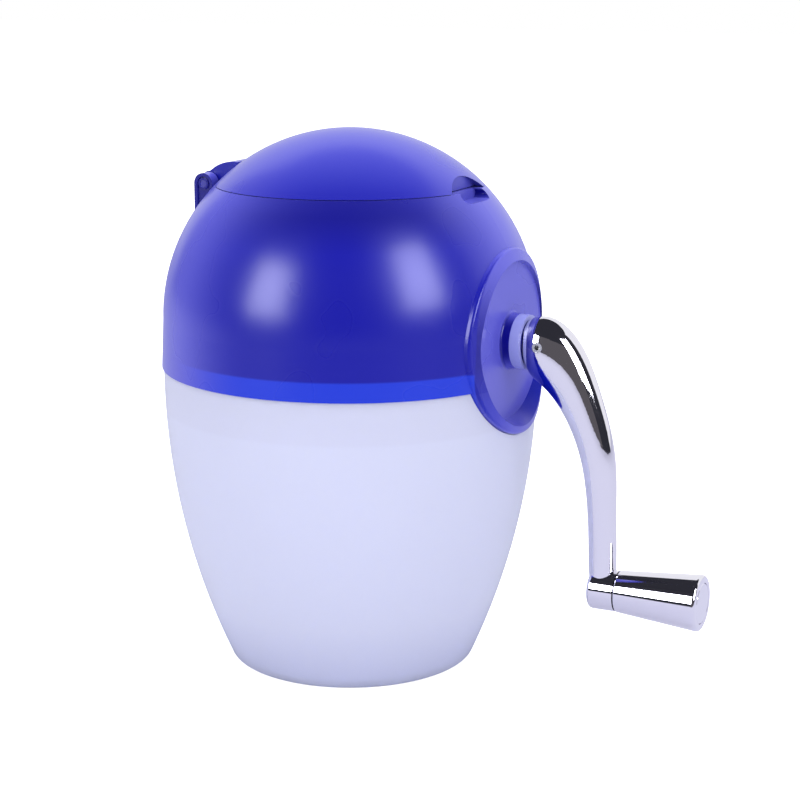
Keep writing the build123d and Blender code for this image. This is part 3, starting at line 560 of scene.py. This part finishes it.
def bearing_place(forward, turn, rise, distance, middle):
    """A place round the object: turned from the camera's side, and raised."""
    toward = math.atan2(-forward[1], -forward[0]) + turn
    return (
        middle[0] + distance * math.cos(rise) * math.cos(toward),
        middle[1] + distance * math.cos(rise) * math.sin(toward),
        middle[2] + distance * math.sin(rise),
    )


class CRUSHER_OT_stage(bpy.types.Operator):
    """Make the white floor, the studio lamps, the world and the camera"""

    bl_idname = "crusher.stage"
    bl_label = "Stage"

    def execute(self, context):
        studio = context.scene.crusher_studio
        scene = context.scene
        self.floor(scene)
        self.world(scene, studio)
        self.lamps(studio)
        self.room(studio)
        self.camera(scene, studio)
        scene.view_settings.view_transform = "Standard"
        return {"FINISHED"}

    def floor(self, scene):
        """A matt pale table that shows white, with the object's shadow on it."""
        half = 6.0
        mesh = bpy.data.meshes.new("floor")
        corners = [(-half, -half, 0), (half, -half, 0), (half, half, 0), (-half, half, 0)]
        mesh.from_pydata(corners, [], [(0, 1, 2, 3)])
        floor = bpy.data.objects.new("floor", mesh)
        scene.collection.objects.link(floor)
        material, build, paper = start_material("floor_white")
        paper.inputs["Roughness"].default_value = 1.0
        paper.inputs["Specular IOR Level"].default_value = 0.0
        paper.inputs["Emission Color"].default_value = (1, 1, 1, 1)
        rays = build.new("ShaderNodeLightPath")
        through = rays.outputs["Is Transmission Ray"]
        mirrored = build.math("SUBTRACT", rays.outputs["Is Glossy Ray"], through, clamp=True)
        shade = build.mix(mirrored, (0.80, 0.80, 0.84), (0.58, 0.58, 0.68))
        build.join(shade, paper.inputs["Base Color"])
        lift = build.math("MULTIPLY", rays.outputs["Is Camera Ray"], 0.8)
        build.join(lift, paper.inputs["Emission Strength"])
        mesh.materials.append(material)

    def world(self, scene, studio):
        """Light from all round, and white where nothing stands."""
        world = bpy.data.worlds.new("studio")
        scene.world = world
        world.use_nodes = True
        sky = Nodes(world.node_tree)
        back = world.node_tree.nodes["Background"]
        rays = sky.new("ShaderNodeLightPath")
        seen = sky.math("MAXIMUM", rays.outputs["Is Camera Ray"], rays.outputs["Is Glossy Ray"])
        seen = sky.math("MAXIMUM", seen, rays.outputs["Is Transmission Ray"])
        back.inputs["Color"].default_value = (1, 1, 1, 1)
        level = sky.new("ShaderNodeMapRange")
        level.inputs["To Min"].default_value = studio.world_level
        level.inputs["To Max"].default_value = 1.0
        sky.join(seen, level.inputs["Value"])
        sky.join(level.outputs["Result"], back.inputs["Strength"])

    def lamps(self, studio):
        """Two tall soft boxes on the camera's side, left and right, and a wide one overhead."""
        middle = (0, 0, 0.12)
        toward = math.atan2(-studio.camera_forward[1], -studio.camera_forward[0])
        # Each box: its turn from the camera's side, half its width, and its lower and upper edge, in degrees.
        white = glow("box_white", (0.97, 0.97, 1.0), studio.box_glow)
        for name, turn, half_width, low, high in (("left_box", -50, 12, 12, 40), ("right_box", 46, 13, 17, 50)):
            place = bearing_place(studio.camera_forward, math.radians(turn), math.radians(44), 1.2, middle)
            lamp = soft_box(name, place, middle, 0.6, 0.9, studio.key_power)
            lamp.visible_glossy = False
            first, last = (toward + math.radians(turn + side * half_width) for side in (-1, 1))
            room_card(name + "_front", first, last, math.radians(low), math.radians(high), 1.3, white)
        top = soft_box("top_box", (0.0, 0.15, 1.4), middle, 0.9, 0.9, studio.fill_power)
        top.visible_glossy = False

    def room(self, studio):
        """The dark room round the table, open to the white paper behind the object and to its right."""
        toward = math.atan2(-studio.camera_forward[1], -studio.camera_forward[0])
        dark = glow("room_dark", (0.8, 0.8, 1.0), 0.04)
        first, last = toward + math.radians(-142), toward + math.radians(88)
        room_card("room", first, last, math.radians(-1), math.radians(90), 2.6, dark)
        room_card("roof", last, first + 2 * math.pi, math.radians(52), math.radians(90), 2.6, dark)
        grey = glow("room_grey", (0.88, 0.82, 0.86), 0.13)
        first, last = toward + math.radians(-36), toward + math.radians(32)
        room_card("room_front", first, last, math.radians(-1), math.radians(38), 2.4, grey)

    def camera(self, scene, studio):
        """The photograph's camera."""
        lens = bpy.data.cameras.new("camera")
        lens.sensor_width = 36.0
        lens.lens = studio.lens
        camera = bpy.data.objects.new("camera", lens)
        camera.location = studio.camera_place
        level_way = Vector(studio.camera_forward).normalized()
        way = level_way * math.cos(studio.camera_pitch) - Vector((0, 0, math.sin(studio.camera_pitch)))
        camera.rotation_mode = "QUATERNION"
        camera.rotation_quaternion = way.to_track_quat("-Z", "Y")
        scene.collection.objects.link(camera)
        scene.camera = camera


class CRUSHER_PT_panel(bpy.types.Panel):
    """The crusher's steps and values"""

    bl_idname = "CRUSHER_PT_panel"
    bl_label = "Ice Crusher"
    bl_space_type = "VIEW_3D"
    bl_region_type = "UI"
    bl_category = "Ice Crusher"

    def draw(self, context):
        column = self.layout.column()
        for operator in STEPS:
            column.operator(operator.bl_idname)
        for values in (context.scene.crusher_finish, context.scene.crusher_studio):
            for key in values.__annotations__:
                column.prop(values, key)


STEPS = (
    CRUSHER_OT_housing,
    CRUSHER_OT_lid,
    CRUSHER_OT_cup,
    CRUSHER_OT_plastics,
    CRUSHER_OT_crank,
    CRUSHER_OT_steel,
    CRUSHER_OT_stage,
)
CLASSES = (CrusherFinish, CrusherStudio, *STEPS, CRUSHER_PT_panel)


def register():
    for cls in CLASSES:
        bpy.utils.register_class(cls)
    bpy.types.Scene.crusher_finish = PointerProperty(type=CrusherFinish)
    bpy.types.Scene.crusher_studio = PointerProperty(type=CrusherStudio)


def unregister():
    del bpy.types.Scene.crusher_studio
    del bpy.types.Scene.crusher_finish
    for cls in reversed(CLASSES):
        bpy.utils.unregister_class(cls)


def main():
    """Runs the steps in order."""
    register()
    for operator in STEPS:
        area, name = operator.bl_idname.split(".")
        getattr(getattr(bpy.ops, area), name)()


if __name__ == "__main__":
    main()
